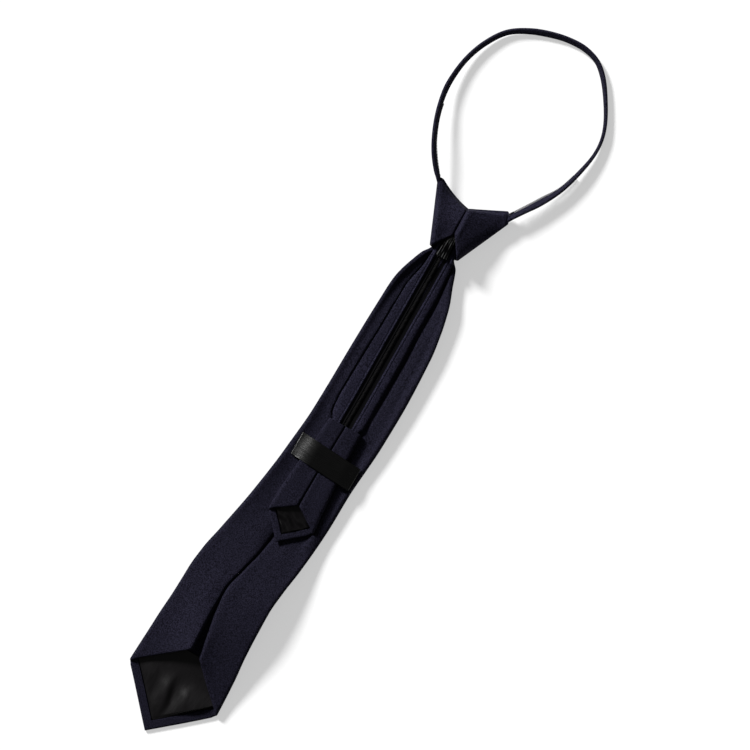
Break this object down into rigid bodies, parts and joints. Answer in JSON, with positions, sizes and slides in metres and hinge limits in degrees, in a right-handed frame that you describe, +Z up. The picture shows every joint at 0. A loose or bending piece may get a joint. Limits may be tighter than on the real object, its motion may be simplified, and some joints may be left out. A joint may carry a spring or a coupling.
{
  "type": "zipper tie",
  "caption": "Pre-tied necktie lying face down: folded blade with open lined tip, zipped tail under a sewn keeper, winged knot and open neck loop.",
  "frame": {"origin": "on the floor, under the middle of the tie's whole length and width", "axes": "+Y along the tie towards the neck loop, -Y towards the blade's tip, +Z up out of the tie's back; the tie's front faces -Z"},
  "size_m": [0.1332, 0.6514, 0.0205],
  "materials": {
    "navy_cloth": "matt fine twill, near-black navy",
    "charcoal_satin": "soft satin lining, charcoal",
    "black_satin": "black satin ribbon with woven edges",
    "black_tape": "matt woven polyester tape",
    "black_nylon": "half-gloss black nylon"
  },
  "bodies": {
    "root": {"blade": "navy_cloth", "blade_tipping": "charcoal_satin", "tail_sleeve": "navy_cloth", "tail_tipping": "charcoal_satin", "tail_strip_left": "navy_cloth", "tail_strip_right": "navy_cloth", "zipper_tape_left": "black_tape", "zipper_tape_right": "black_tape", "zipper_coil": "black_nylon", "zipper_slider": "black_nylon", "knot_wrap": "navy_cloth", "keeper_label": "black_satin", "neck_loop": "navy_cloth", "loop_coil_left": "black_nylon", "loop_coil_right": "black_nylon"}
  },
  "joints": []
}
